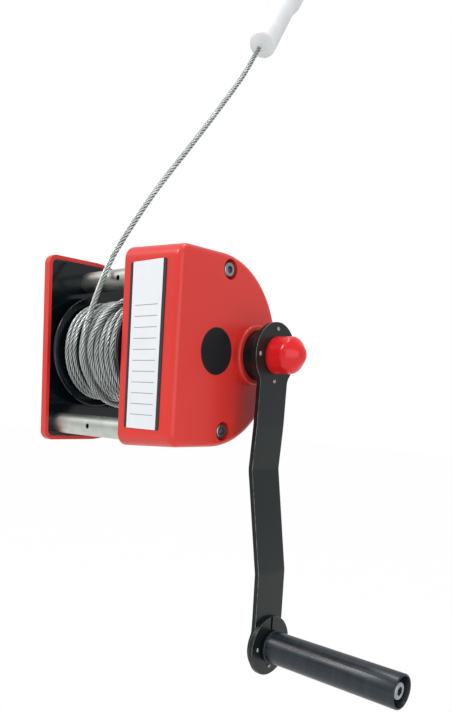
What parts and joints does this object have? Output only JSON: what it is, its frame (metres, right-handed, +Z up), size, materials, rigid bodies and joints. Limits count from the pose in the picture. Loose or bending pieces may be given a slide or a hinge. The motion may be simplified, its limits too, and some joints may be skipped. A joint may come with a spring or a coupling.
{
  "type": "hand winch",
  "caption": "Hand winch: wire rope on a drum between covered side plates, an enclosed spur gear case with a load brake, and a joggled crank with a turning grip.",
  "frame": {"origin": "middle of the four base bolt holes, on the base plate's rear face", "axes": "+Y out of the base plate's rear face towards what the winch is bolted to, +X along the drum towards the crank, +Z up"},
  "size_m": [0.386, 0.3906, 0.8237],
  "materials": {
    "red_enamel": "satin",
    "black_cap": "satin",
    "black_enamel": "gloss",
    "crank_black": "satin",
    "zinc_tube": "dull zinc plating",
    "zinc_fastener": "bright zinc plating",
    "rivet_bright": "bright",
    "machined_steel": "oiled",
    "bush_bronze": "machined",
    "friction_lining": "pressed fibre",
    "wire_rope": "galvanised strands",
    "ferrule_aluminium": "pressed",
    "thimble_zinc": "bright zinc plating",
    "white_sleeve": "soft translucent vinyl",
    "red_cap": "glossy vinyl",
    "black_grip": "satin, fine grain",
    "plate_film": "white film, black side stripes"
  },
  "bodies": {
    "frame": {"gear_case": "red_enamel", "far_cover": "red_enamel", "axle_cap": "black_cap", "gear_side_plate": "black_enamel", "far_side_plate": "black_enamel", "rear_base_plate": "black_enamel", "top_tie_tube": "zinc_tube", "bottom_tie_tube": "zinc_tube", "case_screws": "zinc_fastener", "far_cover_screws": "zinc_fastener", "tie_tube_plugs": "zinc_fastener", "tie_tube_screws": "zinc_fastener", "base_plate_screws": "zinc_fastener", "pawl_spring": "zinc_fastener", "pawl_pin": "machined_steel", "far_drum_bush": "bush_bronze", "gear_side_drum_bush": "bush_bronze", "case_drum_bush": "bush_bronze", "crank_inner_bush": "bush_bronze", "crank_outer_bush": "bush_bronze", "free_rope": "wire_rope", "rope_eye": "wire_rope", "rope_ferrule": "ferrule_aluminium", "rope_thimble": "thimble_zinc", "rope_end_sleeve": "white_sleeve", "name_plate": "plate_film"},
    "drum": {"drum_shaft": "machined_steel", "drum_barrel": "machined_steel", "far_drum_flange": "black_enamel", "near_drum_flange": "black_enamel", "drum_spacers": "machined_steel", "drum_gear": "machined_steel", "gear_key": "machined_steel", "wound_rope": "wire_rope", "rope_tail": "wire_rope", "rope_clamp": "zinc_fastener", "rope_clamp_screws": "zinc_fastener"},
    "crank": {"crank_pinion_shaft": "machined_steel", "brake_flange": "machined_steel", "inner_brake_lining": "friction_lining", "outer_brake_lining": "friction_lining", "brake_pressure_hub": "machined_steel", "crank_hub": "crank_black", "crank_arm": "crank_black", "crank_head_rivets": "rivet_bright", "crank_washer": "zinc_fastener", "crank_nut": "zinc_fastener", "crank_nut_cap": "red_cap", "crank_foot_flange": "crank_black", "crank_foot_rivets": "rivet_bright", "grip_spindle": "machined_steel", "grip_washer": "zinc_fastener", "grip_bolt": "zinc_fastener", "grip_nut": "zinc_fastener"},
    "ratchet": {"ratchet_wheel": "machined_steel", "ratchet_bush": "bush_bronze"},
    "pawl": {"brake_pawl": "machined_steel"},
    "grip": {"grip_sleeve": "black_grip"}
  },
  "joints": [
    {"name": "drum_turn", "type": "hinge", "parent": "frame", "child": "drum", "pos_m": [0, -0.071, 0], "axis": [1, 0, 0], "continuous": true},
    {"name": "crank_turn", "type": "hinge", "parent": "frame", "child": "crank", "pos_m": [0.1, -0.019, 0], "axis": [1, 0, 0], "continuous": true},
    {"name": "ratchet_turn", "type": "hinge", "parent": "frame", "child": "ratchet", "pos_m": [0.1, -0.019, 0], "axis": [1, 0, 0], "continuous": true},
    {"name": "pawl_swing", "type": "hinge", "parent": "frame", "child": "pawl", "pos_m": [0.1, -0.052, 0.0215], "axis": [1, 0, 0], "range_deg": [0, 12], "stiffness_Nm_per_rad": 0.02, "springref_deg": -20.05},
    {"name": "grip_spin", "type": "hinge", "parent": "crank", "child": "grip", "pos_m": [0.2, -0.019, -0.2802], "axis": [1, 0, 0], "continuous": true}
  ],
  "couplings": [
    {"joint": "crank_turn", "follows": "drum_turn", "ratio": -3.3333}
  ]
}
